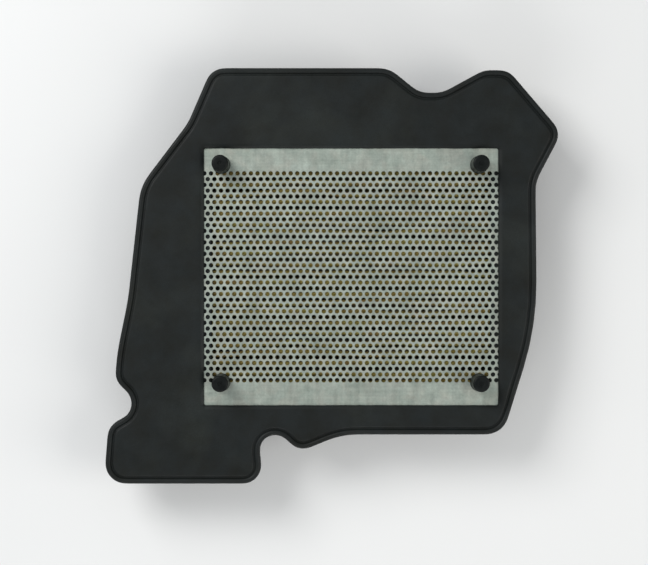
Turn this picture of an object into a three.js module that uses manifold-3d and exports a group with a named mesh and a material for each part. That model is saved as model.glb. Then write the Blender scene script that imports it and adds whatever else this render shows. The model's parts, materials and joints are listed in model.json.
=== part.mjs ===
// Panel air filter for a motorcycle airbox, lying flat with its clean side up.
// Millimetres. +Z is up, towards the clean side; X and Y lie in the plane of the flange.
// The plan sizes below are measured from the middle of the screen; at the end the whole
// filter is moved so that the origin is the middle of its footprint, on the plane it rests on.

import * as THREE from 'three';
import { mergeVertices } from 'three/addons/utils/BufferGeometryUtils.js';
import Module from 'manifold-3d';

const wasm = await Module();
wasm.setup();

// ---------------------------------------------------------------- driving sizes

const GAP = 0.3; // clearance left between two pieces that are bonded or pressed together
const ARC_STEP = 9; // degrees of arc for each facet of an outline
const ARC_CHORD = 12; // and the longest facet on an arc

// Heights above the plane that the filter rests on.
const FLANGE_UNDER = 25;
const FLANGE_TOP = 35;

const SCREEN = { width: 162, depth: 142, thickness: 0.8, top: 33.4 };
const SCREEN_BOTTOM = SCREEN.top - SCREEN.thickness;

// Staggered six-sided holes in the screen, at twice the real pitch: the real sheet has round 2.4 mm
// holes at 3.5 mm, four times as many, with the same share of open area.
const PUNCHED = { pitch: 7, radius: 2.64, sides: 6, rows: 19, columns: 22, clearOfPosts: 6.4 };

// The opening in the flange that shows the screen, and the chamfer round its edge.
const OPENING = { width: 155.2, depth: 135.4, radius: 2, chamfer: 2, chamferHeight: 0.8 };

// The wall round the pleats: its outside at the flange, and its inside.
const COLLAR = { width: 166, depth: 146, radius: 12, draft: 1.2, footRound: 1 };

const PLEATS = { count: 24, pitch: 5.32, paper: 0.7, fold: 1.5, bottom: 3.6, top: 29.2 };
const PLEAT_POTTING = 2; // how far each end of the pleats reaches into the wall
const CAVITY = { width: 147, depth: PLEATS.count * PLEATS.pitch, radius: 3 };

const GLUE = { width: 2.4, height: 1.2, positions: [-36, 0, 36] };

// The four posts on the screen: a stem with a collar on each side of the sheet.
const POST = {
  height: 16, rootRadius: 4.8, tipRadius: 4.3, edge: 0.8, neckRadius: 2.4, barbRadius: 3.5,
  barbHeight: 1.9, barbTip: 1.5,
};
const POSTS = {
  post_front_left: [-68.4, -55.6],
  post_front_right: [67.5, -55.6],
  post_rear_left: [-68.4, 59],
  post_rear_right: [67.5, 59],
};
const POST_SIDES = 24;

// Corners of the flange's outline, anticlockwise from the front left: x, y, corner radius.
const FLANGE_CORNERS = [
  [-130.4, -109, 10.5], // front lobe
  [-46.6, -109, 9],
  [-49.3, -83.3, 8.2], // notch beside the lobe
  [-36.5, -83.3, 8.3],
  [-27.5, -92.4, 9.5], // small bump on the front edge
  [-5, -83.1, 40],
  [80, -83.1, 12],
  [97.9, -25.5, 150], // bowed right edge
  [97.2, 50, 18],
  [111, 76, 9], // rear right point
  [83, 108.8, 9],
  [70, 109, 12],
  [48, 97, 14], // valley in the rear edge
  [36, 97, 12],
  [20, 110, 14],
  [-73.5, 110, 10],
  [-86, 81, 24], // rear left shoulder
  [-111, 48, 26],
  [-117.6, -12, 120], // bowed left edge
  [-123.7, -41.8, 115],
  [-124.4, -54.8, 9], // round notch in the left edge
  [-109, -68.9, 9],
  [-128, -78.5, 9],
];

// The flange's section along its outline: how far in from the outline, and how high. It runs from
// the flat underside over the seal bead, round the edge, over the rim and its groove to the flat top.
const FLANGE_SECTION = [
  [8, FLANGE_UNDER],
  [7.2, FLANGE_UNDER],
  [6.4, FLANGE_UNDER - 1.8],
  [4.8, FLANGE_UNDER - 1.8],
  [4, FLANGE_UNDER],
  [1.2, FLANGE_UNDER],
  [0.3, FLANGE_UNDER + 0.3],
  [0, FLANGE_UNDER + 1.2],
  [0, FLANGE_TOP - 0.6],
  [0.4, FLANGE_TOP + 0.3],
  [1.4, FLANGE_TOP + 0.7],
  [2.4, FLANGE_TOP + 0.3],
  [2.9, FLANGE_TOP - 0.5],
  [3.5, FLANGE_TOP - 0.5],
  [4.2, FLANGE_TOP],
];

// ---------------------------------------------------------------- outlines and solids

// Points and outward normals along a polygon whose corners are rounded to tangent arcs.
function roundedOutline(corners) {
  const samples = [];
  corners.forEach(([x, y, radius], index) => {
    const corner = new THREE.Vector2(x, y);
    const before = corners[(index + corners.length - 1) % corners.length];
    const after = corners[(index + 1) % corners.length];
    const back = new THREE.Vector2(before[0], before[1]).sub(corner).normalize();
    const ahead = new THREE.Vector2(after[0], after[1]).sub(corner).normalize();
    const halfAngle = back.angleTo(ahead) / 2;
    const centre = back.clone().add(ahead).normalize();
    centre.multiplyScalar(radius / Math.sin(halfAngle)).add(corner);
    const start = back.clone().multiplyScalar(radius / Math.tan(halfAngle)).add(corner).sub(centre);
    const outward = ahead.cross(back) > 0 ? 1 : -1;
    const sweep = outward * (Math.PI - 2 * halfAngle);
    const steps = Math.max(
      2,
      Math.ceil(THREE.MathUtils.radToDeg(Math.abs(sweep)) / ARC_STEP),
      Math.ceil((Math.abs(sweep) * radius) / ARC_CHORD),
    );
    for (let step = 0; step <= steps; step += 1) {
      const arm = start.clone().rotateAround(new THREE.Vector2(), (sweep * step) / steps);
      const normal = arm.clone().multiplyScalar(outward / radius);
      samples.push({ point: arm.add(centre), normal });
    }
  });
  return samples;
}

function roundedRectangle(width, depth, radius) {
  const x = width / 2;
  const y = depth / 2;
  return roundedOutline([[-x, -y, radius], [x, -y, radius], [x, y, radius], [-x, y, radius]]);
}

// A closed solid whose surface follows an outline: each section entry [inset, z] is one ring,
// and the first and last rings are closed by flat caps.
function loft(outline, section) {
  const positions = [];
  for (const [inset, z] of section) {
    for (const { point, normal } of outline) {
      positions.push(point.x - inset * normal.x, point.y - inset * normal.y, z);
    }
  }
  const count = outline.length;
  const faces = [];
  for (let ring = 0; ring < section.length - 1; ring += 1) {
    for (let step = 0; step < count; step += 1) {
      const a = ring * count + step;
      const b = ring * count + ((step + 1) % count);
      faces.push(a, b, b + count, a, b + count, a + count);
    }
  }
  const ringPoints = (ring) => outline.map((_, step) => {
    const at = 3 * (ring * count + step);
    return new THREE.Vector2(positions[at], positions[at + 1]);
  });
  const last = (section.length - 1) * count;
  for (const [a, b, c] of THREE.ShapeUtils.triangulateShape(ringPoints(0), [])) {
    faces.push(a, c, b);
  }
  for (const [a, b, c] of THREE.ShapeUtils.triangulateShape(ringPoints(section.length - 1), [])) {
    faces.push(last + a, last + b, last + c);
  }
  const geometry = new THREE.BufferGeometry();
  geometry.setAttribute('position', new THREE.Float32BufferAttribute(positions, 3));
  geometry.setIndex(faces);
  return geometry;
}

function block(width, depth, bottom, top) {
  return new THREE.BoxGeometry(width, depth, top - bottom).translate(0, 0, (bottom + top) / 2);
}

function toManifold(geometry) {
  const bare = geometry.clone();
  bare.deleteAttribute('normal');
  bare.deleteAttribute('uv');
  const merged = mergeVertices(bare, 1e-4);
  return new wasm.Manifold(new wasm.Mesh({
    numProp: 3,
    vertProperties: Float32Array.from(merged.attributes.position.array),
    triVerts: Uint32Array.from(merged.index.array),
  }));
}

function toGeometry(solid) {
  const mesh = solid.getMesh();
  const geometry = new THREE.BufferGeometry();
  geometry.setAttribute('position', new THREE.Float32BufferAttribute(mesh.vertProperties, 3));
  geometry.setIndex(Array.from(mesh.triVerts));
  geometry.computeVertexNormals();
  return geometry;
}

// ---------------------------------------------------------------- the pieces

// One moulding: the flange with its rim and seal bead, and the collar that holds the pleats.
function frameGeometry() {
  const flange = loft(roundedOutline(FLANGE_CORNERS), FLANGE_SECTION);
  const collar = loft(roundedRectangle(COLLAR.width, COLLAR.depth, COLLAR.radius), [
    [COLLAR.draft + COLLAR.footRound, 0],
    [COLLAR.draft, COLLAR.footRound],
    [0, FLANGE_UNDER + 1],
  ]);
  const cavity = roundedRectangle(CAVITY.width, CAVITY.depth, CAVITY.radius);
  const opening = roundedRectangle(OPENING.width, OPENING.depth, OPENING.radius);
  const pleatLength = CAVITY.width + 2 * (PLEAT_POTTING + GAP);
  const slotWidth = SCREEN.width + 2 * GAP;
  const slotDepth = SCREEN.depth + 2 * GAP;
  const cuts = [
    loft(cavity, [[0, -1], [0, SCREEN.top]]),
    block(pleatLength, CAVITY.depth, PLEATS.bottom - GAP, PLEATS.top + GAP),
    block(slotWidth, slotDepth, SCREEN_BOTTOM - GAP, SCREEN.top + GAP),
    loft(opening, [
      [0, SCREEN.top],
      [0, FLANGE_TOP - OPENING.chamferHeight],
      [-OPENING.chamfer, FLANGE_TOP],
      [-OPENING.chamfer, FLANGE_TOP + 1],
    ]),
  ];
  let frame = toManifold(flange).add(toManifold(collar));
  for (const cut of cuts) {
    frame = frame.subtract(toManifold(cut));
  }
  return toGeometry(frame);
}

function circlePath(x, y, radius, sides) {
  const turns = Array.from({ length: sides }, (_, side) => (2 * Math.PI * side) / sides);
  return new THREE.Path(turns.map(
    (turn) => new THREE.Vector2(x + radius * Math.sin(turn), y + radius * Math.cos(turn)),
  ));
}

// The middles of the punched holes, leaving out those that the posts would cut into.
function punchedCentres() {
  const rowPitch = (PUNCHED.pitch * Math.sqrt(3)) / 2;
  const posts = Object.values(POSTS).map(([x, y]) => new THREE.Vector2(x, y));
  const centres = [];
  for (let row = 0; row < PUNCHED.rows; row += 1) {
    const extra = row % 2;
    const y = (row - (PUNCHED.rows - 1) / 2) * rowPitch;
    for (let column = 0; column < PUNCHED.columns + extra; column += 1) {
      const x = (column - (PUNCHED.columns + extra - 1) / 2) * PUNCHED.pitch;
      const centre = new THREE.Vector2(x, y);
      if (posts.every((post) => post.distanceTo(centre) > PUNCHED.clearOfPosts)) {
        centres.push(centre);
      }
    }
  }
  return centres;
}

// The perforated sheet over the clean side, with a larger hole for each post.
function screenGeometry() {
  const x = SCREEN.width / 2;
  const y = SCREEN.depth / 2;
  const sheet = new THREE.Shape([
    new THREE.Vector2(-x, -y), new THREE.Vector2(x, -y),
    new THREE.Vector2(x, y), new THREE.Vector2(-x, y),
  ]);
  for (const centre of punchedCentres()) {
    sheet.holes.push(circlePath(centre.x, centre.y, PUNCHED.radius, PUNCHED.sides));
  }
  for (const [postX, postY] of Object.values(POSTS)) {
    sheet.holes.push(circlePath(postX, postY, POST.neckRadius + GAP, POST_SIDES));
  }
  const geometry = new THREE.ExtrudeGeometry(sheet, {
    depth: SCREEN.thickness,
    bevelEnabled: false,
  });
  return geometry.translate(0, 0, SCREEN_BOTTOM);
}

// The middle line of the folded paper, seen along X: flat-topped folds joined by steep walls.
function foldLine() {
  const half = PLEATS.paper / 2;
  const line = [];
  const start = (-PLEATS.count * PLEATS.pitch) / 2;
  for (let pleat = 0; pleat < PLEATS.count; pleat += 1) {
    const y = start + pleat * PLEATS.pitch;
    const crest = y + PLEATS.pitch / 2;
    line.push(new THREE.Vector2(y + PLEATS.fold / 2, PLEATS.bottom + half));
    line.push(new THREE.Vector2(crest - PLEATS.fold / 2, PLEATS.top - half));
    line.push(new THREE.Vector2(crest + PLEATS.fold / 2, PLEATS.top - half));
    line.push(new THREE.Vector2(y + PLEATS.pitch - PLEATS.fold / 2, PLEATS.bottom + half));
  }
  return line;
}

// A polyline moved sideways by a distance, with mitred corners.
function offsetLine(line, distance) {
  return line.map((point, index) => {
    const before = line[Math.max(index - 1, 0)];
    const after = line[Math.min(index + 1, line.length - 1)];
    const arriving = point.clone().sub(before);
    const leaving = after.clone().sub(point);
    const first = (arriving.lengthSq() > 0 ? arriving : leaving).clone().normalize();
    const second = (leaving.lengthSq() > 0 ? leaving : arriving).clone().normalize();
    const across = new THREE.Vector2(-first.y - second.y, first.x + second.x).normalize();
    const stretch = distance / (-across.x * first.y + across.y * first.x);
    return across.multiplyScalar(stretch).add(point);
  });
}

function pleatGeometry() {
  const line = foldLine();
  const half = PLEATS.paper / 2;
  const section = [...offsetLine(line, -half), ...offsetLine(line, half).reverse()];
  const length = CAVITY.width + 2 * PLEAT_POTTING;
  const geometry = new THREE.ExtrudeGeometry(new THREE.Shape(section), {
    depth: length,
    bevelEnabled: false,
  });
  // The section was drawn with Y across and Z up; this stands it up and runs it along X.
  geometry.applyMatrix4(new THREE.Matrix4().makeBasis(
    new THREE.Vector3(0, 1, 0), new THREE.Vector3(0, 0, 1), new THREE.Vector3(1, 0, 0),
  ));
  return geometry.translate(-length / 2, 0, 0);
}

// A bead of hot-melt glue laid across the lower folds, to hold them at their pitch.
function glueGeometry(x) {
  const top = PLEATS.bottom - GAP;
  const length = PLEATS.count * PLEATS.pitch - PLEATS.pitch;
  return block(GLUE.width, length, top - GLUE.height, top).translate(x, 0, 0);
}

// A rubber post: barb and neck below the sheet, tapered stem above it.
function postGeometry() {
  const under = SCREEN_BOTTOM - GAP;
  const over = SCREEN.top + GAP;
  const tip = SCREEN.top + POST.height;
  const profile = [
    [0, under - POST.barbHeight],
    [POST.barbTip, under - POST.barbHeight],
    [POST.barbRadius, under - POST.barbHeight / 3],
    [POST.barbRadius, under],
    [POST.neckRadius, under],
    [POST.neckRadius, over],
    [POST.rootRadius, over],
    [POST.tipRadius, tip - POST.edge],
    [POST.tipRadius - POST.edge, tip],
    [0, tip],
  ];
  const points = profile.map(([radius, z]) => new THREE.Vector2(radius, z));
  return new THREE.LatheGeometry(points, POST_SIDES).rotateX(Math.PI / 2);
}

// ---------------------------------------------------------------- assembly

function finish(red, green, blue, roughness, metalness = 0) {
  const color = new THREE.Color().setRGB(red, green, blue, THREE.SRGBColorSpace);
  return new THREE.MeshStandardMaterial({ color, roughness, metalness });
}

const polyurethane = finish(0.17, 0.18, 0.175, 0.75);
const galvanised = finish(0.62, 0.65, 0.61, 0.5, 0.8);
const paper = finish(0.58, 0.46, 0.2, 0.85);
const rubber = finish(0.09, 0.1, 0.1, 0.65);
const hotMelt = finish(0.82, 0.76, 0.6, 0.4);

const filter = new THREE.Group();

function addPiece(name, geometry, material) {
  const mesh = new THREE.Mesh(geometry, material);
  mesh.name = name;
  filter.add(mesh);
  return mesh;
}

addPiece('moulded_frame', frameGeometry(), polyurethane);
addPiece('clean_side_screen', screenGeometry(), galvanised);
addPiece('pleated_paper', pleatGeometry(), paper);
GLUE.positions.forEach((x, index) => {
  addPiece(`glue_bead_${index + 1}`, glueGeometry(x), hotMelt);
});
for (const [name, [x, y]] of Object.entries(POSTS)) {
  addPiece(name, postGeometry(), rubber).position.set(x, y, 0);
}

const footprint = new THREE.Box3().setFromObject(filter, true).getCenter(new THREE.Vector3());
filter.position.set(-footprint.x, -footprint.y, 0);

export default filter;
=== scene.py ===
"""Panel air filter for a motorcycle airbox, seen from straight above on a pale floor.

Metres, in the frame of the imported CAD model: +Z is up through the clean side. Every plan shape
is read from the CAD solids, by cutting them with level planes, and refined here.
"""

import json
import math
import random
from collections import defaultdict

import bmesh
import bpy
import numpy as np
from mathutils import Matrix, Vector, geometry, noise


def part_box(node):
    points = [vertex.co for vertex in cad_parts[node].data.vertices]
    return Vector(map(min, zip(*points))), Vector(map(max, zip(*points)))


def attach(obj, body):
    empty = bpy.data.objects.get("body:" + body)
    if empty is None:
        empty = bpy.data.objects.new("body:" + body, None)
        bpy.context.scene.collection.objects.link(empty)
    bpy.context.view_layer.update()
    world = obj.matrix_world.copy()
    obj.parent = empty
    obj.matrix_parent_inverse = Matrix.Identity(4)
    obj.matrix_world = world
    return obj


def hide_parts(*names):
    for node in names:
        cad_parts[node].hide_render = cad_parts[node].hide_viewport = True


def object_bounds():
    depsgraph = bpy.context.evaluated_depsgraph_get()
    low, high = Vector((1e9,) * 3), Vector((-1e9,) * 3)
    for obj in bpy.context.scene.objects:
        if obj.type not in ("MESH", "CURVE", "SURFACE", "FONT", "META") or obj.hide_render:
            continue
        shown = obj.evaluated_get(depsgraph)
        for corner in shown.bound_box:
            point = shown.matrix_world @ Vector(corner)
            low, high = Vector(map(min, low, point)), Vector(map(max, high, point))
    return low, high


MM = 0.001

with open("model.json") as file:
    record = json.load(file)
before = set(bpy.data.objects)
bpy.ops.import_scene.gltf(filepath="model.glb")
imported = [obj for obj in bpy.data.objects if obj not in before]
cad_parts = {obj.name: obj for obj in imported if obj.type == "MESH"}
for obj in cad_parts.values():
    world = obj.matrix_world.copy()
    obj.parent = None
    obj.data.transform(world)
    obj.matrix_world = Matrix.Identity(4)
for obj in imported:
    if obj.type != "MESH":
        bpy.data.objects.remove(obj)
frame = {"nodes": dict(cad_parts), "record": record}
cad_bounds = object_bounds()
collection = bpy.context.scene.collection


# ---------------------------------------------------------------- reading the CAD model


def cad_section(node, height):
    """Closed loops where a level plane cuts a CAD node, as arrays of XY points, longest first."""
    mesh = frame["nodes"][node].data
    mesh.calc_loop_triangles()
    corners = [tuple(vertex.co) for vertex in mesh.vertices]
    links = defaultdict(list)
    for triangle in mesh.loop_triangles:
        ends = []
        points = [corners[index] for index in triangle.vertices]
        for first, second in ((0, 1), (1, 2), (2, 0)):
            low, high = sorted((points[first], points[second]), key=lambda point: (point[2], point))
            if low[2] < height <= high[2]:
                share = (height - low[2]) / (high[2] - low[2])
                ends.append(tuple(round(low[axis] + share * (high[axis] - low[axis]), 7) for axis in (0, 1)))
        if len(ends) == 2 and ends[0] != ends[1]:
            links[ends[0]].append(ends[1])
            links[ends[1]].append(ends[0])
    loops = []
    unused = set(links)
    while unused:
        start = min(unused)
        loop = [start]
        unused.discard(start)
        while True:
            following = [point for point in links[loop[-1]] if point in unused]
            if not following:
                break
            loop.append(following[0])
            unused.discard(following[0])
        loops.append(np.array(loop))
    return sorted(loops, key=lambda loop: -np.ptp(loop, axis=0).sum())


def mount_height(name):
    """Height of one of the record's flat faces."""
    mounts = {mount["name"]: mount for mount in frame["record"]["mounts"]}
    return mounts[name]["pos_m"][2]


FLANGE_TOP = mount_height("flange_top_face")
FLANGE_UNDER = mount_height("flange_under_face")
SCREEN_LOW, SCREEN_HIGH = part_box("clean_side_screen")
PAPER_LOW, PAPER_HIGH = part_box("pleated_paper")
SHEET = (SCREEN_HIGH.x - SCREEN_LOW.x, SCREEN_HIGH.y - SCREEN_LOW.y)
CENTRE = (SCREEN_LOW + SCREEN_HIGH) / 2
MIDDLE = np.array([CENTRE.x, CENTRE.y])
# Width and depth of the frame's cavity, just below the screen.
CAVITY = np.ptp(cad_section("moulded_frame", SCREEN_LOW.z - 1 * MM)[1], axis=0)


# ---------------------------------------------------------------- mesh helpers

WELD = 0.002 * MM
SLIVER = 0.002 * MM  # a triangle of less height than this counts as a straight line
BORDER_FADE = 4 * MM  # a rippled area is level at its borders, and rippled this far from them


def make_object(name, vertices, faces, material, sharp_degrees=40):
    """A smooth-shaded mesh object that rides on the filter's only body."""
    mesh = bpy.data.meshes.new(name)
    mesh.from_pydata([tuple(vertex) for vertex in vertices], [], faces)
    welded = bmesh.new()
    welded.from_mesh(mesh)
    bmesh.ops.remove_doubles(welded, verts=welded.verts, dist=WELD)
    bmesh.ops.recalc_face_normals(welded, faces=welded.faces)
    welded.to_mesh(mesh)
    welded.free()
    mesh.polygons.foreach_set("use_smooth", [True] * len(mesh.polygons))
    mesh.set_sharp_from_angle(angle=math.radians(sharp_degrees))
    mesh.materials.append(material)
    piece = bpy.data.objects.new(name, mesh)
    collection.objects.link(piece)
    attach(piece, "root")
    return piece


def apply_modifiers(piece, sharp_degrees):
    """Makes the modified shape the piece's own mesh, with its folds marked sharp."""
    mesh = bpy.data.meshes.new_from_object(piece.evaluated_get(bpy.context.evaluated_depsgraph_get()))
    piece.modifiers.clear()
    piece.data = mesh
    mesh.polygons.foreach_set("use_smooth", [True] * len(mesh.polygons))
    mesh.set_sharp_from_angle(angle=math.radians(sharp_degrees))


def closed_resample(loop, step):
    """Points at an even spacing along a closed loop."""
    closed = np.vstack([loop, loop[:1]])
    lengths = np.concatenate([[0], np.cumsum(np.linalg.norm(np.diff(closed, axis=0), axis=1))])
    count = int(round(lengths[-1] / step))
    places = np.arange(count) * lengths[-1] / count
    return np.column_stack([np.interp(places, lengths, closed[:, axis]) for axis in (0, 1)])


def closed_smooth(loop, width):
    """The loop blurred along itself by a Gaussian that is width samples wide."""
    reach = int(3 * width)
    weights = np.exp(-0.5 * (np.arange(-reach, reach + 1) / width) ** 2)
    weights /= weights.sum()
    result = np.zeros_like(loop)
    for offset, weight in zip(range(-reach, reach + 1), weights):
        result += weight * np.roll(loop, offset, axis=0)
    return result


def quarter_turn(steps):
    """Angles from 0 to 90 degrees, in radians."""
    return [math.pi / 2 * step / steps for step in range(steps + 1)]


def anticlockwise(loop):
    """The loop, turned round if it runs clockwise."""
    following = np.roll(loop, -1, axis=0)
    area = (loop[:, 0] * following[:, 1] - loop[:, 1] * following[:, 0]).sum()
    return loop if area > 0 else loop[::-1]


def outward_normals(loop):
    """Unit normals that point out of an anticlockwise loop, one for each point."""
    along = np.roll(loop, -1, axis=0) - np.roll(loop, 1, axis=0)
    along /= np.linalg.norm(along, axis=1)[:, None]
    return np.column_stack([along[:, 1], -along[:, 0]])


CORNER_STEPS = 12
SIDE_STEPS = int(SHEET[0] / (0.9 * MM))


def rounded_rectangle(width, depth, radius):
    """A closed ring round the screen's middle; every such ring has the same number of points."""
    points = []
    for quarter, (side_x, side_y) in enumerate(((1, -1), (1, 1), (-1, 1), (-1, -1))):
        centre = Vector((side_x * (width / 2 - radius), side_y * (depth / 2 - radius)))
        for step in range(CORNER_STEPS + 1):
            angle = math.pi / 2 * (quarter - 1 + step / CORNER_STEPS)
            points.append(centre + radius * Vector((math.cos(angle), math.sin(angle))))
        # The straight side that follows, with a fixed number of points between its ends.
        after_x, after_y = ((1, 1), (-1, 1), (-1, -1), (1, -1))[quarter]
        turn = math.pi / 2 * quarter
        end = Vector((after_x * (width / 2 - radius), after_y * (depth / 2 - radius)))
        end += radius * Vector((math.cos(turn), math.sin(turn)))
        points += [points[-1].lerp(end, step / SIDE_STEPS) for step in range(1, SIDE_STEPS)]
    return np.array(points) + MIDDLE


def bridge(rings, faces_out, vertices_out):
    """Joins rings of equal length with quads, added to the lists; returns each ring's first index."""
    first_indices = []
    for ring in rings:
        first_indices.append(len(vertices_out))
        vertices_out.extend(ring)
    count = len(rings[0])
    for lower, upper in zip(first_indices, first_indices[1:]):
        for step in range(count):
            after = (step + 1) % count
            faces_out.append((lower + step, lower + after, upper + after, upper + step))
    return first_indices


def capped_tube(rings):
    """Vertices and faces of bridged rings, with a flat face over each end."""
    vertices, faces = [], []
    first = bridge(rings, faces, vertices)
    sides = len(rings[0])
    faces.append(tuple(range(first[0] + sides - 1, first[0] - 1, -1)))
    faces.append(tuple(range(first[-1], first[-1] + sides)))
    return vertices, faces


def inside(points, loop):
    """Whether each point lies inside a closed loop (even-odd rule)."""
    x, y = points[:, 0], points[:, 1]
    result = np.zeros(len(points), bool)
    ends = np.roll(loop, -1, axis=0)
    for (x0, y0), (x1, y1) in zip(loop, ends):
        if y0 != y1:
            crosses = (y0 > y) != (y1 > y)
            result ^= crosses & (x < (x1 - x0) * (y - y0) / (y1 - y0) + x0)
    return result


def distance_to(points, loop):
    """Distance from each point to the nearest point of a finely sampled loop."""
    nearest = np.full(len(points), np.inf)
    for start in range(0, len(loop), 64):
        block = loop[start:start + 64]
        gaps = np.linalg.norm(points[:, None, :] - block[None, :, :], axis=2)
        nearest = np.minimum(nearest, gaps.min(axis=1))
    return nearest


def longest_edge(flat, triangle):
    """The longest edge of a triangle that is nearly a straight line, and None for any other."""
    a, b, c = (flat[index] for index in triangle)
    doubled_area = abs((b[0] - a[0]) * (c[1] - a[1]) - (b[1] - a[1]) * (c[0] - a[0]))
    lengths = [np.linalg.norm(b - a), np.linalg.norm(c - b), np.linalg.norm(a - c)]
    longest = int(np.argmax(lengths))
    if doubled_area > SLIVER * lengths[longest]:
        return None
    return frozenset((triangle[longest], triangle[(longest + 1) % 3]))


def patch(outer, inner, height, spacing, ripple, seed):
    """Triangles that fill the level area between two loops, gently rippled away from its edges."""
    low, high = outer.min(axis=0), outer.max(axis=0)
    rows = []
    for row, y in enumerate(np.arange(low[1], high[1], spacing * math.sqrt(3) / 2)):
        shift = spacing / 2 * (row % 2)
        rows += [(x, y) for x in np.arange(low[0] + shift, high[0], spacing)]
    grid = np.array(rows)
    grid = grid[inside(grid, outer) & ~inside(grid, inner)]
    edge_gap = np.minimum(distance_to(grid, outer), distance_to(grid, inner))
    keep = edge_gap > 0.55 * spacing
    grid, edge_gap = grid[keep], edge_gap[keep]
    points = np.vstack([outer, inner, grid])
    edges = [(index, (index + 1) % len(outer)) for index in range(len(outer))]
    edges += [
        (len(outer) + index, len(outer) + (index + 1) % len(inner)) for index in range(len(inner))
    ]
    # Millimetres keep the triangulation's tolerance meaningful.
    scaled = [Vector(point / MM) for point in points]
    flat, _, triangles, _, _, _ = geometry.delaunay_2d_cdt(scaled, edges, [], 0, 1e-5)
    flat = np.array([tuple(point) for point in flat]) * MM
    middles = np.array([flat[list(triangle)].mean(axis=0) for triangle in triangles])
    wanted = inside(middles, outer) & ~inside(middles, inner)
    faces = []
    slivers = {}
    for triangle, use in zip(triangles, wanted):
        edge = longest_edge(flat, triangle)
        if edge:
            slivers[tuple(triangle)] = edge
        elif use:
            faces.append(tuple(triangle))
    # Slivers lie in rows along a border, and belong to the patch when their longest edge meets it.
    joining = True
    while joining:
        borders = {frozenset(pair) for a, b, c in faces for pair in ((a, b), (b, c), (c, a))}
        joining = [triangle for triangle, edge in slivers.items() if edge in borders]
        faces += joining
        slivers = {key: edge for key, edge in slivers.items() if key not in joining}
    gaps = np.minimum(distance_to(flat, outer), distance_to(flat, inner))
    fade = np.clip(gaps / BORDER_FADE, 0, 1) ** 2
    vertices = []
    for (x, y), share in zip(flat, fade):
        wave = noise.noise(Vector((x / (28 * MM), y / (28 * MM), seed)))
        wave += 0.35 * noise.noise(Vector((x / (9 * MM), y / (9 * MM), seed + 7)))
        vertices.append((x, y, height + ripple * share * wave))
    return vertices, faces


# ---------------------------------------------------------------- materials


class Nodes:
    """A short way to build a material's node tree."""

    def __init__(self, name):
        self.material = bpy.data.materials.new(name)
        self.material.use_nodes = True
        self.tree = self.material.node_tree
        self.tree.nodes.clear()
        self.output = self.add("ShaderNodeOutputMaterial")
        self.shader = self.add("ShaderNodeBsdfPrincipled")
        self.link(self.shader.outputs["BSDF"], self.output.inputs["Surface"])
        self.place = self.add("ShaderNodeTexCoord").outputs["Object"]

    def add(self, kind, **settings):
        node = self.tree.nodes.new(kind)
        for key, value in settings.items():
            setattr(node, key, value)
        return node

    def link(self, output, target):
        self.tree.links.new(output, target)

    def stretched(self, scale):
        """The object's coordinates multiplied by scale, one factor for each axis."""
        mapping = self.add("ShaderNodeMapping")
        mapping.inputs["Scale"].default_value = scale
        self.link(self.place, mapping.inputs["Vector"])
        return mapping.outputs["Vector"]

    def noise(self, size, detail=4, roughness=0.55, vector=None, distortion=0):
        """Noise whose features are about size metres across."""
        node = self.add("ShaderNodeTexNoise")
        node.inputs["Scale"].default_value = 1 / size
        node.inputs["Detail"].default_value = detail
        node.inputs["Roughness"].default_value = roughness
        node.inputs["Distortion"].default_value = distortion
        self.link(vector or self.place, node.inputs["Vector"])
        return node.outputs["Fac"]

    def cells(self, size, output="Distance", randomness=1):
        """Voronoi cells about size metres across."""
        node = self.add("ShaderNodeTexVoronoi")
        node.inputs["Scale"].default_value = 1 / size
        node.inputs["Randomness"].default_value = randomness
        self.link(self.place, node.inputs["Vector"])
        return node.outputs[output]

    def ramp(self, value, *stops):
        """Colours or greys at places along value; a stop is (place, grey) or (place, (r, g, b))."""
        node = self.add("ShaderNodeValToRGB")
        elements = node.color_ramp.elements
        while len(elements) < len(stops):
            elements.new(1)
        for element, (place, colour) in zip(elements, stops):
            element.position = place
            shade = colour if isinstance(colour, tuple) else (colour, colour, colour)
            element.color = (*shade, 1)
        self.link(value, node.inputs["Fac"])
        return node.outputs["Color"]

    def mix(self, share, first, second, blend="MIX"):
        """Two colours mixed; each argument is a socket, a number or an (r, g, b) tuple."""
        node = self.add("ShaderNodeMix", data_type="RGBA", blend_type=blend)
        for value, name in ((share, "Factor"), (first, "A"), (second, "B")):
            sockets = [socket for socket in node.inputs if socket.name == name and socket.enabled]
            if hasattr(value, "links"):
                self.link(value, sockets[0])
            elif isinstance(value, tuple):
                sockets[0].default_value = (*value, 1)
            else:
                sockets[0].default_value = value
        return [socket for socket in node.outputs if socket.enabled][0]

    def math(self, operation, first, second=0.0):
        node = self.add("ShaderNodeMath", operation=operation)
        for value, socket in zip((first, second), node.inputs):
            if hasattr(value, "links"):
                self.link(value, socket)
            else:
                socket.default_value = value
        return node.outputs["Value"]

    def bump(self, *layers):
        """Stacks (height, distance in metres) layers into the shader's normal."""
        normal = None
        for height, distance in layers:
            node = self.add("ShaderNodeBump")
            node.inputs["Distance"].default_value = distance
            node.inputs["Strength"].default_value = 1
            self.link(height, node.inputs["Height"])
            if normal is not None:
                self.link(normal, node.inputs["Normal"])
            normal = node.outputs["Normal"]
        self.link(normal, self.shader.inputs["Normal"])

    def finish(self, colour, roughness, **values):
        """Connects the colour and roughness, and sets the shader's other inputs by name."""
        for value, name in ((colour, "Base Color"), (roughness, "Roughness")):
            if hasattr(value, "links"):
                self.link(value, self.shader.inputs[name])
            else:
                self.shader.inputs[name].default_value = value
        for name, value in values.items():
            socket = self.shader.inputs[name.replace("_", " ")]
            if hasattr(value, "links"):
                self.link(value, socket)
            else:
                socket.default_value = value
        return self.material


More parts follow.
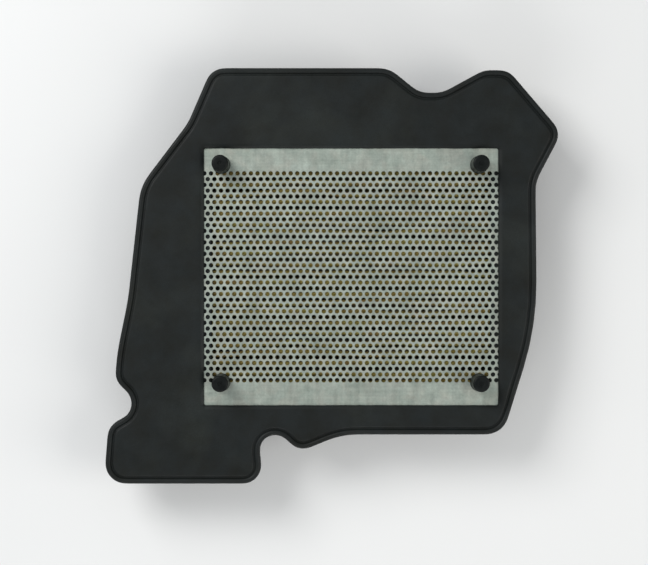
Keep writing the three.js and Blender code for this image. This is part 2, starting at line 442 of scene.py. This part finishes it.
def polyurethane_material():
    """Matt black integral-skin foam: cloudy skin, fine grain, a few pinholes with painted shade in them, a
    trace of release agent.
    """
    nodes = Nodes("moulded_polyurethane")
    cloud = nodes.noise(16 * MM, detail=6, roughness=0.65)
    base = nodes.ramp(cloud, (0.28, (0.0046, 0.0054, 0.0038)), (0.72, (0.0085, 0.0115, 0.0118)))
    # Release agent dries as a soft greenish haze, thicker in some places than in others.
    bloom = nodes.ramp(nodes.noise(45 * MM, detail=6, distortion=0.6), (0.48, 0.0), (0.8, 0.35))
    hazy = nodes.mix(bloom, base, (0.028, 0.033, 0.028))
    grain = nodes.noise(0.45 * MM, detail=3, roughness=0.6)
    grained = nodes.mix(1.0, hazy, nodes.ramp(grain, (0.3, 0.72), (0.7, 1.3)), blend="MULTIPLY")
    speck = nodes.ramp(nodes.cells(1.9 * MM), (0.0, 1.0), (0.035, 1.0), (0.075, 0.0))
    patches = nodes.ramp(nodes.noise(7 * MM, detail=2), (0.6, 0.0), (0.66, 1.0))
    pinhole_shade = nodes.math("MULTIPLY", speck, patches)
    # The pinholes are painted near-black: painted shade in their pits, which are also dented by the bump
    # below.
    colour = nodes.mix(pinhole_shade, grained, (0.003, 0.003, 0.003))
    rough = nodes.ramp(nodes.noise(9 * MM, detail=5), (0.3, 0.44), (0.7, 0.6))
    nodes.bump(
        (nodes.noise(6 * MM, detail=3), 0.06 * MM),
        (nodes.noise(1.1 * MM, detail=4), 0.03 * MM),
        (grain, 0.025 * MM),
        (nodes.math("MULTIPLY", pinhole_shade, -1.0), 0.15 * MM),
    )
    return nodes.finish(colour, rough, Specular_IOR_Level=0.21)


def galvanised_material():
    """Dull zinc: faint spangles, rolling lines both ways, fine scratches and stained patches."""
    nodes = Nodes("galvanised_steel")
    cloud = nodes.noise(16 * MM, detail=6, roughness=0.6)
    base = nodes.ramp(cloud, (0.25, (0.295, 0.34, 0.29)), (0.75, (0.425, 0.475, 0.42)))
    stain = nodes.ramp(nodes.noise(7 * MM, detail=4, distortion=0.4), (0.42, 0.0), (0.7, 0.75))
    stained = nodes.mix(stain, base, (0.43, 0.44, 0.38))
    along = nodes.noise(1.4 * MM, detail=4, vector=nodes.stretched((0.04, 1, 1)))
    across = nodes.noise(3 * MM, detail=5, roughness=0.65, vector=nodes.stretched((1, 0.12, 1)))
    rolled = nodes.math("ADD", nodes.math("MULTIPLY", along, 0.35), nodes.math("MULTIPLY", across, 0.65))
    shade = nodes.ramp(rolled, (0.35, 0.84), (0.65, 1.13))
    streaked = nodes.mix(1.0, stained, shade, blend="MULTIPLY")
    spangle = nodes.cells(3.5 * MM, output="Color")
    spangle_grey = nodes.add("ShaderNodeRGBToBW")
    nodes.link(spangle, spangle_grey.inputs["Color"])
    tint = nodes.ramp(spangle_grey.outputs["Val"], (0.0, 0.92), (1.0, 1.05))
    mottled = nodes.mix(1.0, streaked, tint, blend="MULTIPLY")
    grain = nodes.noise(1.1 * MM, detail=5, roughness=0.7)
    colour = nodes.mix(1.0, mottled, nodes.ramp(grain, (0.3, 0.88), (0.7, 1.1)), blend="MULTIPLY")
    scratch = nodes.noise(0.4 * MM, detail=2, vector=nodes.stretched((0.03, 1, 1)))
    scratches = nodes.ramp(scratch, (0.64, 0.0), (0.72, 1.0))
    rough = nodes.ramp(nodes.noise(5 * MM, detail=6), (0.3, 0.42), (0.75, 0.56))
    nodes.bump(
        (rolled, 0.012 * MM),
        (nodes.noise(14 * MM, detail=3), 0.1 * MM),
        (grain, 0.008 * MM),
        (nodes.math("MULTIPLY", scratches, -1.0), 0.008 * MM),
    )
    return nodes.finish(colour, rough, Metallic=0.75)


def paper_material():
    """Oiled filter paper: yellow-brown, fibrous, embossed with small dimples, darker where oil pools."""
    nodes = Nodes("oiled_filter_paper")
    fibre = nodes.noise(0.6 * MM, detail=7, roughness=0.7, vector=nodes.stretched((0.5, 1, 1)))
    oil = nodes.noise(8 * MM, detail=5, distortion=0.8, vector=nodes.stretched((0.45, 1, 1)))
    brown = (0.315, 0.198, 0.046)
    ochre = (0.367, 0.276, 0.056)
    straw = (0.402, 0.35, 0.08)
    base = nodes.ramp(oil, (0.34, brown), (0.52, ochre), (0.7, straw))
    fibres = nodes.ramp(fibre, (0.3, 0.78), (0.7, 1.12))
    colour = nodes.mix(1.0, base, fibres, blend="MULTIPLY")
    dimples = nodes.cells(1.6 * MM, randomness=0.25)
    rough = nodes.ramp(oil, (0.3, 0.5), (0.7, 0.72))
    nodes.bump(
        (nodes.ramp(dimples, (0.1, 0.0), (0.55, 1.0)), 0.12 * MM),
        (fibre, 0.05 * MM),
    )
    return nodes.finish(colour, rough, Sheen_Weight=0.15)


def rubber_material():
    """Satin black rubber with a fine grain and dust on it."""
    nodes = Nodes("post_rubber")
    cloud = nodes.noise(3 * MM, detail=5)
    dust = nodes.ramp(nodes.noise(1.3 * MM, detail=6), (0.6, 0.0), (0.85, 0.25))
    base = nodes.ramp(cloud, (0.3, (0.002, 0.003, 0.0027)), (0.7, (0.005, 0.0065, 0.006)))
    colour = nodes.mix(dust, base, (0.03, 0.033, 0.03))
    rough = nodes.ramp(cloud, (0.3, 0.36), (0.7, 0.52))
    nodes.bump((nodes.noise(0.3 * MM, detail=3), 0.012 * MM))
    return nodes.finish(colour, rough, Specular_IOR_Level=0.16)


def hot_melt_material():
    """Milky, slightly glossy glue with bubbles in it."""
    nodes = Nodes("hot_melt_glue")
    cloud = nodes.noise(2.5 * MM, detail=4)
    base = nodes.ramp(cloud, (0.3, (0.55, 0.44, 0.24)), (0.7, (0.74, 0.66, 0.45)))
    bubble = nodes.ramp(nodes.cells(0.8 * MM), (0.05, 1.0), (0.14, 0.0))
    colour = nodes.mix(nodes.math("MULTIPLY", bubble, 0.5), base, (0.85, 0.8, 0.66))
    nodes.bump((nodes.noise(1.2 * MM, detail=3), 0.08 * MM))
    return nodes.finish(colour, 0.28, Subsurface_Weight=0.35, Subsurface_Scale=1.5 * MM)


def floor_material():
    """Matt off-white paper, barely uneven."""
    nodes = Nodes("pale_floor")
    cloud = nodes.noise(0.4, detail=3)
    colour = nodes.ramp(cloud, (0.3, (0.72, 0.72, 0.71)), (0.7, (0.76, 0.76, 0.75)))
    nodes.bump((nodes.noise(0.002, detail=2), 0.02 * MM))
    return nodes.finish(colour, 0.55)


# ---------------------------------------------------------------- the moulded frame

OUTLINE_STEP = 1 * MM
OUTLINE_BLUR = 1.6  # in steps, so that the facets of the CAD outline melt into curves
SEAM_HEIGHT = (FLANGE_TOP + FLANGE_UNDER) / 2
SKIN_SPACING = 2.6 * MM
SKIN_RIPPLE = 0.09 * MM
LOWER_EDGE_ROUND = 1.4 * MM
# The seal bead under the flange: the insets of its two sides, and its height.
BEAD_OUTER, BEAD_INNER, BEAD_HEIGHT = 4.0 * MM, 7.2 * MM, 1.8 * MM
RIM_RADIUS = 1.45 * MM
RIM_HEIGHT = 0.7 * MM  # above the flange's top
# Insets and depths, in millimetres, from the bottom of the groove behind the rim to the flat top.
GROOVE = ((3.0, 0.62), (3.2, 0.66), (3.45, 0.6), (3.75, 0.38), (4.05, 0.14), (4.4, 0.02), (4.8, 0))
# How far the foam's edge round the screen has grown outwards, and its depth, in millimetres.
LIP = ((2.6, 0), (2.1, 0.03), (1.6, 0.13), (1.1, 0.3), (0.6, 0.52), (0.25, 0.75), (0.05, 1.0), (0, 1.25))
LIP_DEPTH = LIP[-1][1]
CREEP = 0.13 * MM  # how unevenly the foam crept over the screen
# Radii in plan, and edge rounds, of the cavity and of the collar, in millimetres.
CAVITY_RADIUS, CAVITY_TOP_ROUND, CAVITY_FOOT_ROUND = 3, 0.9, 1.2
COLLAR_RADIUS, FOOT_RADIUS, COLLAR_ROUND = 12, 11, 1.5


def flange_section():
    """The flange's profile as (inset, height): seal bead, lower edge, mould seam, rim, groove."""
    section = []
    for step in range(13):
        share = step / 12
        inset = BEAD_INNER + (BEAD_OUTER - BEAD_INNER) * share
        section.append((inset, FLANGE_UNDER - BEAD_HEIGHT * math.sin(math.pi * share) ** 0.7))
    edge = LOWER_EDGE_ROUND
    section.append((edge + 1 * MM, FLANGE_UNDER))
    for angle in quarter_turn(6):
        section.append((edge * (1 - math.sin(angle)), FLANGE_UNDER + edge * (1 - math.cos(angle))))
    for offset, proud in ((-0.25, 0.0), (-0.1, 0.12), (0.1, 0.12), (0.25, 0.0)):
        section.append((-proud * MM, SEAM_HEIGHT + offset * MM))
    rim_centre = FLANGE_TOP + RIM_HEIGHT - RIM_RADIUS
    for step in range(15):
        angle = math.pi * step / 14
        inset = RIM_RADIUS * (1 - math.cos(angle))
        section.append((inset, rim_centre + RIM_RADIUS * math.sin(angle)))
    section += [(inset * MM, FLANGE_TOP - drop * MM) for inset, drop in GROOVE]
    return section


def ragged_edge(ring):
    """How far the foam crept over the screen at each point of the lip, in metres."""
    creep = [
        noise.noise(Vector((x / (7 * MM), y / (7 * MM), 31)))
        + 0.6 * noise.noise(Vector((x / (1.7 * MM), y / (1.7 * MM), 37)))
        for x, y in ring
    ]
    return CREEP * np.array(creep)


def frame_inner_rings(opening):
    """Rings from the lip's top, down round the screen's edge and the cavity, to the collar's root."""
    collar = np.ptp(cad_section("moulded_frame", 0.9 * FLANGE_UNDER)[0], axis=0)
    foot = np.ptp(cad_section("moulded_frame", 0.05 * FLANGE_UNDER)[0], axis=0)
    rings = []

    def add(size, grow, radius, height, ragged=0):
        """A ring grown by some millimetres, whose edge may be ragged."""
        ring = rounded_rectangle(size[0] + 2 * grow * MM, size[1] + 2 * grow * MM, radius * MM)
        if ragged:
            ring = ring + outward_normals(ring) * ragged_edge(ring)[:, None] * ragged
        rings.append([(x, y, height) for x, y in ring])

    for grow, drop in LIP:
        add(opening, grow, 1 + grow, FLANGE_TOP - drop * MM, ragged=drop / LIP_DEPTH)
    # The slot that holds the sheet has a little play above and below it.
    over, under = SCREEN_HIGH.z + 0.06 * MM, SCREEN_LOW.z - 0.06 * MM
    add(opening, 0.05, 1.05, over + 0.1 * MM, ragged=1)
    add(opening, 0.2, 1.2, over, ragged=1)
    add(SHEET, 0.15, 1, over)
    add(SHEET, 0.15, 1, under)
    add(CAVITY, CAVITY_TOP_ROUND, CAVITY_RADIUS, under)
    for angle in quarter_turn(4):
        drop = CAVITY_TOP_ROUND * MM * (1 - math.cos(angle))
        add(CAVITY, CAVITY_TOP_ROUND * (1 - math.sin(angle)), CAVITY_RADIUS, under - drop)
    for share in (0.75, 0.5, 0.25):
        add(CAVITY, 0, CAVITY_RADIUS, share * under, ragged=1.3)
    for angle in quarter_turn(6):
        height = CAVITY_FOOT_ROUND * MM * (1 - math.sin(angle))
        add(CAVITY, CAVITY_FOOT_ROUND * (1 - math.cos(angle)), CAVITY_RADIUS, height)
    for angle in quarter_turn(6):
        height = COLLAR_ROUND * MM * (1 - math.cos(angle))
        add(foot, -COLLAR_ROUND * (1 - math.sin(angle)), FOOT_RADIUS, height)
    for share in (0.25, 0.5, 0.75):
        size = foot + (collar - foot) * share
        radius = (FOOT_RADIUS + COLLAR_RADIUS) / 2
        add(size, 0, radius, 0.8 * share * FLANGE_UNDER + COLLAR_ROUND * MM)
    for angle in quarter_turn(6):
        drop = COLLAR_ROUND * MM * (1 - math.sin(angle))
        add(collar, COLLAR_ROUND * (1 - math.cos(angle)), COLLAR_RADIUS, FLANGE_UNDER - drop)
    return rings


def build_frame():
    """The flange and the collar as one skin, read from the CAD frame's outline and opening."""
    edge_loop = cad_section("moulded_frame", SEAM_HEIGHT + 2 * MM)[0]
    outline = anticlockwise(closed_resample(edge_loop, OUTLINE_STEP))
    outline = closed_smooth(outline, OUTLINE_BLUR)
    normals = outward_normals(outline)
    opening_loop = cad_section("moulded_frame", SCREEN_HIGH.z + 0.6 * MM)[1]
    opening = np.ptp(opening_loop, axis=0)
    vertices, faces = [], []

    inner_rings = frame_inner_rings(opening)
    bridge(inner_rings, faces, vertices)

    def squeeze(ring, reach, clearance):
        """The share of its reach that the section keeps along the outline, to stay clear of a ring."""
        room = distance_to(outline, np.array(ring)[:, :2]) - clearance
        return closed_smooth(np.clip(room / reach, 0.1, 1)[:, None], 3)[:, 0]

    # Near the opening the rim gets narrower, and near the collar the bead fades away.
    above = squeeze(inner_rings[0], GROOVE[-1][0] * MM, 0.5 * MM)
    below = squeeze(inner_rings[-1], BEAD_INNER, 0.8 * MM)
    outer_rings = []
    for inset, height in flange_section():
        levels = np.full(len(outline), height)
        share = above
        if height < SEAM_HEIGHT - 1 * MM:
            levels = FLANGE_UNDER + (height - FLANGE_UNDER) * below
            share = below
        ring = outline - inset * share[:, None] * normals
        outer_rings.append([(x, y, z) for (x, y), z in zip(ring, levels)])
    bridge(outer_rings, faces, vertices)

    for outer, inner, height, seed in (
        (outer_rings[-1], inner_rings[0], FLANGE_TOP, 3),
        (outer_rings[0], inner_rings[-1], FLANGE_UNDER, 11),
    ):
        outer_loop = np.array(outer)[:, :2]
        inner_loop = np.array(inner)[:, :2]
        points, triangles = patch(outer_loop, inner_loop, height, SKIN_SPACING, SKIN_RIPPLE, seed)
        start = len(vertices)
        vertices.extend(points)
        faces.extend(tuple(start + index for index in triangle) for triangle in triangles)
    piece = make_object(
        "frame_moulding", vertices, faces, polyurethane_material(), sharp_degrees=50
    )
    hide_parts("moulded_frame")


# ---------------------------------------------------------------- the perforated screen

HOLE_PITCH = 3.5 * MM
HOLE_RADIUS = 1.2 * MM
HOLE_ROWS = 37
HOLE_COLUMNS = 45
ROW_PITCH = HOLE_PITCH * math.sqrt(3) / 2
PATTERN_SHIFT = 1.36 * MM  # the pattern isn't centred on the sheet
BOTTOM_ROW = CENTRE.y - ROW_PITCH * (HOLE_ROWS - 1) / 2
CELL_STEP = HOLE_PITCH / 6  # between the points on a cell's long sides
STRIP_STEPS = 8
SHEET_BOW = 0.12 * MM


def first_hole(row):
    """Place of a row's leftmost hole; from the front, even rows stand half a pitch to the left."""
    return CENTRE.x + PATTERN_SHIFT - HOLE_COLUMNS / 2 * HOLE_PITCH + (row % 2) * HOLE_PITCH / 2


def hole_cell(centre_x, centre_y):
    """The sheet round one hole: 16 quads between the hole's edge and its rectangular cell."""
    half_x, half_y = HOLE_PITCH / 2, ROW_PITCH / 2
    border = [(half_x, 0), (half_x, half_y)]
    border += [(half_x - step * CELL_STEP, half_y) for step in range(1, 7)]
    border += [(-half_x, 0), (-half_x, -half_y)]
    border += [(-half_x + step * CELL_STEP, -half_y) for step in range(1, 6)]
    border += [(half_x, -half_y)]
    # The hole's points face the border's points, so that every quad is well shaped.
    turns = [2 * math.pi * step / len(border) for step in range(len(border))]
    circle = [(HOLE_RADIUS * math.cos(turn), HOLE_RADIUS * math.sin(turn)) for turn in turns]
    points = [(centre_x + x, centre_y + y) for x, y in circle + border]
    count = len(border)
    quads = [
        (step, count + step, count + (step + 1) % count, (step + 1) % count) for step in range(count)
    ]
    return points, quads


def build_screen():
    """The sheet's top face, cell by cell and strip by strip, thickened downwards."""
    left_edge, right_edge = SCREEN_LOW.x, SCREEN_HIGH.x
    points, faces = [], []

    def add_face(corners):
        start = len(points)
        points.extend(corners)
        faces.append(tuple(range(start, start + len(corners))))

    for row in range(HOLE_ROWS):
        y = BOTTOM_ROW + row * ROW_PITCH
        first = first_hole(row)
        for column in range(HOLE_COLUMNS):
            cell_points, quads = hole_cell(first + column * HOLE_PITCH, y)
            start = len(points)
            points.extend(cell_points)
            faces.extend(tuple(start + index for index in quad) for quad in quads)
        # The margin at each end of a row; one of the two is half a pitch wider than the other.
        low, high = y - ROW_PITCH / 2, y + ROW_PITCH / 2
        for cell_edge, sheet_edge, outward in (
            (first - HOLE_PITCH / 2, left_edge, -1),
            (first + (HOLE_COLUMNS - 0.5) * HOLE_PITCH, right_edge, 1),
        ):
            steps = 0 if (row % 2 == 0) == (outward < 0) else 3
            run = [cell_edge + outward * CELL_STEP * step for step in range(steps + 1)]
            corners = [(x, low) for x in run] + [(sheet_edge, low), (sheet_edge, high)]
            corners += [(x, high) for x in reversed(run)] + [(cell_edge, y)]
            add_face(corners)

    # The plain strips: columns of quads that share the outer rows' border points.
    for row, edge in ((0, SCREEN_LOW.y), (HOLE_ROWS - 1, SCREEN_HIGH.y)):
        first = first_hole(row)
        border = BOTTOM_ROW + row * ROW_PITCH + (-1 if row == 0 else 1) * ROW_PITCH / 2
        # Both outer rows are even ones, whose right margin holds three more steps.
        columns = [first - HOLE_PITCH / 2 + step * CELL_STEP for step in range(6 * HOLE_COLUMNS + 4)]
        columns = [left_edge] + columns + [right_edge]
        levels = [border + (edge - border) * step / STRIP_STEPS for step in range(STRIP_STEPS + 1)]
        for x0, x1 in zip(columns, columns[1:]):
            for y0, y1 in zip(levels, levels[1:]):
                add_face([(x0, y0), (x1, y0), (x1, y1), (x0, y1)])

    def height(x, y):
        """The sheet is very slightly bowed and wavy, but held flat at its edges."""
        along = (x - left_edge) / (right_edge - left_edge)
        across = (y - SCREEN_LOW.y) / (SCREEN_HIGH.y - SCREEN_LOW.y)
        hold = max(0, 16 * along * (1 - along) * across * (1 - across))
        wave = noise.noise(Vector((x / (35 * MM), y / (35 * MM), 5)))
        return SCREEN_HIGH.z - SHEET_BOW * hold * (0.6 + 0.6 * wave)

    vertices = [(x, y, height(x, y)) for x, y in points]
    piece = make_object(
        "perforated_screen", vertices, faces, galvanised_material(), sharp_degrees=30
    )
    # All faces point up before the sheet is given its thickness.
    mesh = piece.data
    if mesh.polygons[0].normal.z < 0:
        mesh.flip_normals()
    thicken = piece.modifiers.new("thickness", "SOLIDIFY")
    thicken.thickness = SCREEN_HIGH.z - SCREEN_LOW.z
    thicken.offset = -1
    apply_modifiers(piece, 30)
    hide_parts("clean_side_screen")


# ---------------------------------------------------------------- the pleated paper

PLEAT_COUNT = 24
PLEAT_PITCH = CAVITY[1] / PLEAT_COUNT
PLEAT_START = CENTRE.y - CAVITY[1] / 2 - 0.66 * MM  # the folds sit a little forward in the cavity
PAPER_THICKNESS = 0.6 * MM
FOLD_RADIUS = 0.98 * MM
FOLD_WANDER = 1.5 * MM
MOST_LEAN = 0.9 * MM
PAPER_SLICES = 80


def fold_centreline(y_start, low, high, lean):
    """One pleat's middle line in (y, z): up a wall, over a rounded crest, down a wall, round a valley."""
    points = []
    crest_y = y_start + PLEAT_PITCH / 2 + lean
    wall = PLEAT_PITCH / 2 - 2 * FOLD_RADIUS
    for share in (0.0, 0.33, 0.67):
        z = low + FOLD_RADIUS + share * (high - low - 2 * FOLD_RADIUS)
        points.append((y_start + FOLD_RADIUS + share * (wall + lean), z))
    for step in range(9):
        angle = math.pi * (1 - step / 8)
        z = high - FOLD_RADIUS + FOLD_RADIUS * math.sin(angle)
        points.append((crest_y + FOLD_RADIUS * math.cos(angle), z))
    for share in (0.33, 0.67):
        z = high - FOLD_RADIUS - share * (high - low - 2 * FOLD_RADIUS)
        points.append((crest_y + FOLD_RADIUS + share * (wall - lean), z))
    for step in range(8):
        angle = -math.pi * (1 - step / 8)
        y = y_start + PLEAT_PITCH + FOLD_RADIUS * math.cos(angle)
        points.append((y, low + FOLD_RADIUS + FOLD_RADIUS * math.sin(angle)))
    return points


def fold_lean(x, pleat):
    """How far a pleat's crest leans from the middle at x: each pleat bends its own way."""
    lean = noise.noise(Vector((x / (34 * MM), pleat * 0.83, 2)))
    lean += 0.55 * noise.noise(Vector((x / (12 * MM), pleat * 1.9, 9)))
    lean += 0.25 * math.sin(2.4 * pleat)
    return max(-MOST_LEAN, min(MOST_LEAN, FOLD_WANDER * lean))


def build_paper():
    """Slices across the folds, bridged along them, and closed at both ends."""
    half_length = CAVITY[0] / 2 + 0.4 * MM
    slices = []
    for index in range(PAPER_SLICES + 1):
        x = CENTRE.x + half_length * (2 * index / PAPER_SLICES - 1)
        middle_line = []
        for pleat in range(PLEAT_COUNT):
            rise = noise.noise(Vector((x / (30 * MM), pleat * 1.3, 4)))
            high = PAPER_HIGH.z - 0.4 * MM + 0.5 * MM * rise
            low = PAPER_LOW.z + PAPER_THICKNESS / 2
            start = PLEAT_START + pleat * PLEAT_PITCH
            middle_line += fold_centreline(start, low, high, fold_lean(x, pleat))
        line = np.array(middle_line)
        along = np.gradient(line, axis=0)
        along /= np.linalg.norm(along, axis=1)[:, None]
        side = np.column_stack([-along[:, 1], along[:, 0]]) * PAPER_THICKNESS / 2
        ring = np.vstack([line + side, (line - side)[::-1]])
        slices.append([(x, y, z) for y, z in ring])
    vertices, faces = [], []
    first = bridge(slices, faces, vertices)
    # Each end is closed by a strip of quads across the paper's thickness.
    count = len(slices[0])
    for start in (first[0], first[-1]):
        for step in range(count // 2 - 1):
            other = count - 1 - step
            faces.append((start + step, start + step + 1, start + other - 1, start + other))
    piece = make_object("paper_pleats", vertices, faces, paper_material(), sharp_degrees=60)
    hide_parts("pleated_paper")


# ---------------------------------------------------------------- glue beads and posts

GLUE_SIDES = 14
GLUE_STEPS_PER_PLEAT = 10
GLUE_FLATNESS = 0.62  # height of a bead's section as a share of its width
GLUE_SAG = 1.1 * MM  # how far it rises into the gaps between the lower folds


def build_glue(node, seed):
    """A bead of glue that lies thick over each lower fold and sags between the folds."""
    low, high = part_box(node)
    centre_x = (low.x + high.x) / 2
    radius = (high.x - low.x) / 2
    rings = []
    steps = int((high.y - low.y) / PLEAT_PITCH * GLUE_STEPS_PER_PLEAT)
    for step in range(steps + 1):
        y = low.y + (high.y - low.y) * step / steps
        phase = (y - PLEAT_START) / PLEAT_PITCH
        on_fold = 0.5 + 0.5 * math.cos(2 * math.pi * phase)
        drift = 0.5 * MM * noise.noise(Vector((y / (25 * MM), seed, 1)))
        size = radius * (0.78 + 0.22 * on_fold + 0.12 * noise.noise(Vector((y / (4 * MM), seed, 3))))
        end = min(step, steps - step) / 4
        size *= math.sin(math.pi / 2 * min(1, end + 0.25))
        middle = high.z - 0.1 * MM + GLUE_SAG * (1 - on_fold)
        ring = []
        for side in range(GLUE_SIDES):
            angle = 2 * math.pi * side / GLUE_SIDES
            z = middle + GLUE_FLATNESS * size * math.sin(angle)
            ring.append((centre_x + drift + size * math.cos(angle), y, z))
        rings.append(ring)
    vertices, faces = capped_tube(rings)
    piece = make_object("hot_melt_" + node[-1], vertices, faces, GLUE)
    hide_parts(node)


POST_SIDES = 64
POST_ROOT, POST_TIP = 4.75 * MM, 4.35 * MM  # radii at the sheet and at the top
POST_NECK, POST_BARB = 2.4 * MM, 3.5 * MM  # radii in the sheet and below it
POST_SHOULDER = 0.2 * MM  # how far the stem steps in above its root
POST_WAIST = 0.12 * MM  # how much the stem is drawn in halfway up
POST_ROUND = 1 * MM
POST_SEAM = 0.05 * MM


def post_profile(low, high):
    """Radius and height along a post: barb and neck under the sheet, stem, rounded end, gate mark."""
    seat = SCREEN_HIGH.z + 0.02 * MM
    under = SCREEN_LOW.z - 0.1 * MM
    profile = [(0, low.z), (1.1 * MM, low.z), (1.5 * MM, low.z + 0.15 * MM)]
    profile += [(3.3 * MM, under - 0.75 * MM), (POST_BARB, under - 0.5 * MM), (POST_BARB, under - 0.15 * MM)]
    profile += [(3.35 * MM, under), (POST_NECK, under), (POST_NECK, seat)]
    profile += [(POST_ROOT - 0.15 * MM, seat), (POST_ROOT, seat + 0.2 * MM), (POST_ROOT, seat + 1.1 * MM)]
    stem = POST_ROOT - POST_SHOULDER
    stem_low, stem_high = seat + 1.5 * MM, high.z - POST_ROUND
    profile.append((stem, stem_low))
    for share in (0.2, 0.4, 0.6, 0.8):
        waist = POST_WAIST * math.sin(math.pi * share)
        radius = stem + (POST_TIP - POST_ROOT + POST_SHOULDER) * share - waist
        profile.append((radius, stem_low + (stem_high - stem_low) * share))
    for angle in quarter_turn(6):
        radius = POST_TIP - POST_ROUND * (1 - math.cos(angle))
        profile.append((radius, stem_high + POST_ROUND * math.sin(angle)))
    profile += [(1.25 * MM, high.z), (1.05 * MM, high.z - 0.25 * MM), (0.6 * MM, high.z - 0.3 * MM)]
    profile += [(0.45 * MM, high.z - 0.05 * MM), (0, high.z - 0.02 * MM)]
    return profile


def build_post(node, turn):
    """A turned profile with a faint mould seam down two sides."""
    low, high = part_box(node)
    centre_x, centre_y = (low.x + high.x) / 2, (low.y + high.y) / 2
    rings = []
    for radius, z in post_profile(low, high):
        ring = []
        for side in range(POST_SIDES):
            angle = 2 * math.pi * side / POST_SIDES
            seam = POST_SEAM * max(0, math.cos(2 * angle)) ** 60 if radius > 4.1 * MM else 0
            reach = max(radius, 0.01 * MM) + seam
            x = centre_x + reach * math.cos(angle + turn)
            y = centre_y + reach * math.sin(angle + turn)
            ring.append((x, y, z))
        rings.append(ring)
    vertices, faces = capped_tube(rings)
    name = node.replace("post", "rubber_post")
    piece = make_object(name, vertices, faces, RUBBER, sharp_degrees=35)
    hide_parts(node)


# ---------------------------------------------------------------- stage, light and camera


def build_floor():
    """A large level floor just under the collar's foot."""
    mesh = bpy.data.meshes.new("floor")
    reach = 3
    mesh.from_pydata(
        [(-reach, -reach, 0), (reach, -reach, 0), (reach, reach, 0), (-reach, reach, 0)], [], [(0, 1, 2, 3)]
    )
    mesh.materials.append(floor_material())
    floor = bpy.data.objects.new("floor", mesh)
    collection.objects.link(floor)
    floor.location.z = cad_bounds[0][2] - 0.05 * MM


def add_area_light(name, place, size, power, colour=(1, 1, 1)):
    """A soft rectangular light that points at the origin."""
    light = bpy.data.lights.new(name, "AREA")
    light.shape = "RECTANGLE"
    light.size, light.size_y = size
    light.energy = power
    light.color = colour
    lamp = bpy.data.objects.new(name, light)
    lamp.location = place
    lamp.rotation_euler = (-Vector(place)).to_track_quat("-Z", "Y").to_euler()
    collection.objects.link(lamp)


def build_light():
    """An even sky, a key light from behind on the left, weaker ones on the right and in front."""
    world = bpy.data.worlds.new("studio")
    world.use_nodes = True
    world.node_tree.nodes["Background"].inputs["Color"].default_value = (0.9, 0.95, 1, 1)
    world.node_tree.nodes["Background"].inputs["Strength"].default_value = 0.42
    bpy.context.scene.world = world
    add_area_light("key", (-0.75, 0.65, 1.0), (0.7, 0.7), 13)
    add_area_light("fill", (0.9, -0.25, 0.8), (0.6, 0.9), 5.5, (1, 0.97, 0.93))
    add_area_light("front", (-0.2, -1.0, 0.7), (0.9, 0.4), 4.5)


CAMERA_HEIGHT = 0.95  # above the screen
FRAME_WIDTH = 341.82 * MM  # what the picture's width covers at the screen
CAMERA_OFFSET = (-14.3 * MM, -3.0 * MM)  # the camera's axis meets the screen here, from its middle


def build_camera():
    """A camera that looks straight down."""
    data = bpy.data.cameras.new("camera")
    data.lens = data.sensor_width * CAMERA_HEIGHT / FRAME_WIDTH
    camera = bpy.data.objects.new("camera", data)
    camera.location = (
        CENTRE.x + CAMERA_OFFSET[0], CENTRE.y + CAMERA_OFFSET[1], SCREEN_HIGH.z + CAMERA_HEIGHT
    )
    collection.objects.link(camera)
    bpy.context.scene.camera = camera
    bpy.context.scene.view_settings.view_transform = "Standard"


# ---------------------------------------------------------------- assembly

RUBBER = rubber_material()
GLUE = hot_melt_material()
random.seed(4)

build_frame()
build_screen()
build_paper()
for seed, glue_node in enumerate(("glue_bead_1", "glue_bead_2", "glue_bead_3")):
    build_glue(glue_node, seed)
for post_node in ("post_front_left", "post_front_right", "post_rear_left", "post_rear_right"):
    build_post(post_node, random.uniform(0, math.pi))
build_floor()
build_light()
build_camera()
